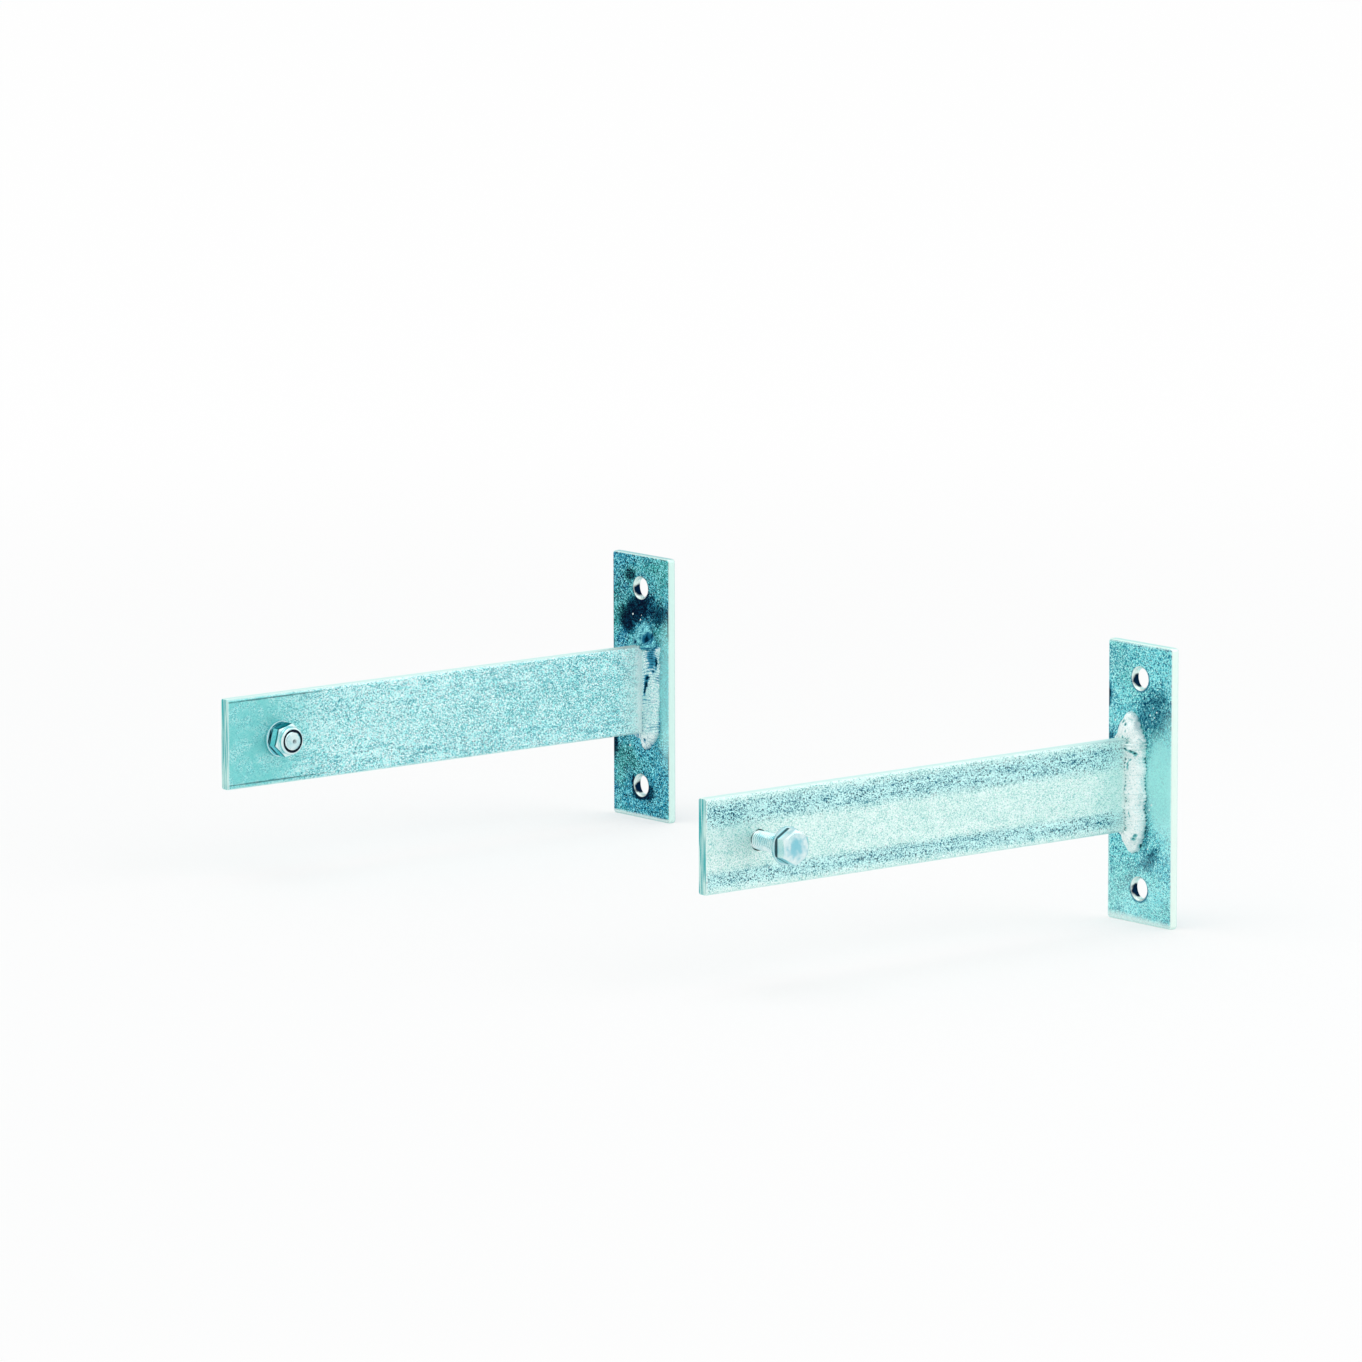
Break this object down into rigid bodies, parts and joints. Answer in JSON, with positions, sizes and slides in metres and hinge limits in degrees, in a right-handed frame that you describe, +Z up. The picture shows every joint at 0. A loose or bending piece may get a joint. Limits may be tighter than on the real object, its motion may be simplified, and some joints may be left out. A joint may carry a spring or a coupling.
{
  "type": "ladder wall bracket",
  "caption": "Matching welded flat-bar steel wall brackets that hold a ladder off a wall, with upright drilled plates, arms on edge and clamping bolts with lock nuts",
  "frame": {"origin": "centre of the left plate's wall face", "axes": "+X from the left bracket to the right one, +Y into the wall, +Z up"},
  "size_m": [0.3778, 0.24, 0.12],
  "materials": {
    "zinc_plate": "dull zinc coating, mottled, heat-stained near the weld",
    "zinc_bar": "grainy zinc coating",
    "weld_metal": "rough pitted weld under zinc",
    "bright_zinc": "bright zinc plating",
    "nylon": "dark nylon"
  },
  "bodies": {
    "left_bracket": {"left_wall_plate": "zinc_plate", "left_arm": "zinc_bar", "left_top_weld": "weld_metal", "left_inner_weld": "weld_metal", "left_outer_weld": "weld_metal"},
    "left_head_washer": {"left_head_washer": "bright_zinc"},
    "left_bolt": {"left_bolt": "bright_zinc"},
    "left_nut_washer": {"left_nut_washer": "bright_zinc"},
    "left_nut": {"left_lock_nut": "bright_zinc", "left_nylon_insert": "nylon"},
    "right_bracket": {"right_wall_plate": "zinc_plate", "right_arm": "zinc_bar", "right_top_weld": "weld_metal", "right_inner_weld": "weld_metal", "right_outer_weld": "weld_metal"},
    "right_head_washer": {"right_head_washer": "bright_zinc"},
    "right_bolt": {"right_bolt": "bright_zinc"},
    "right_nut_washer": {"right_nut_washer": "bright_zinc"},
    "right_nut": {"right_lock_nut": "bright_zinc", "right_nylon_insert": "nylon"}
  },
  "joints": [
    {"name": "bracket_spacing", "type": "slide", "parent": "left_bracket", "child": "right_bracket", "axis": [1, 0, 0], "range_m": [-0.075, 0.125]},
    {"name": "left_bolt_withdraw", "type": "slide", "parent": "left_bracket", "child": "left_head_washer", "axis": [-1, 0, 0], "range_m": [0, 0.035]},
    {"name": "left_bolt_turn", "type": "hinge", "parent": "left_head_washer", "child": "left_bolt", "pos_m": [0.0015, -0.212, 0], "axis": [1, 0, 0], "continuous": true},
    {"name": "left_nut_travel", "type": "slide", "parent": "left_bracket", "child": "left_nut_washer", "axis": [1, 0, 0], "range_m": [0, 0.0101]},
    {"name": "left_nut_spin", "type": "hinge", "parent": "left_nut_washer", "child": "left_nut", "pos_m": [0.0015, -0.212, 0], "axis": [1, 0, 0], "range_deg": [0, 2880]},
    {"name": "right_bolt_withdraw", "type": "slide", "parent": "right_bracket", "child": "right_head_washer", "axis": [1, 0, 0], "range_m": [0, 0.035]},
    {"name": "right_bolt_turn", "type": "hinge", "parent": "right_head_washer", "child": "right_bolt", "pos_m": [0.3315, -0.212, 0], "axis": [-1, 0, 0], "continuous": true},
    {"name": "right_nut_travel", "type": "slide", "parent": "right_bracket", "child": "right_nut_washer", "axis": [-1, 0, 0], "range_m": [0, 0.0101]},
    {"name": "right_nut_spin", "type": "hinge", "parent": "right_nut_washer", "child": "right_nut", "pos_m": [0.3315, -0.212, 0], "axis": [-1, 0, 0], "range_deg": [0, 2880]}
  ],
  "couplings": [
    {"joint": "left_nut_travel", "follows": "left_nut_spin", "m_per_rad": 0.00019894},
    {"joint": "right_nut_travel", "follows": "right_nut_spin", "m_per_rad": 0.00019894}
  ]
}
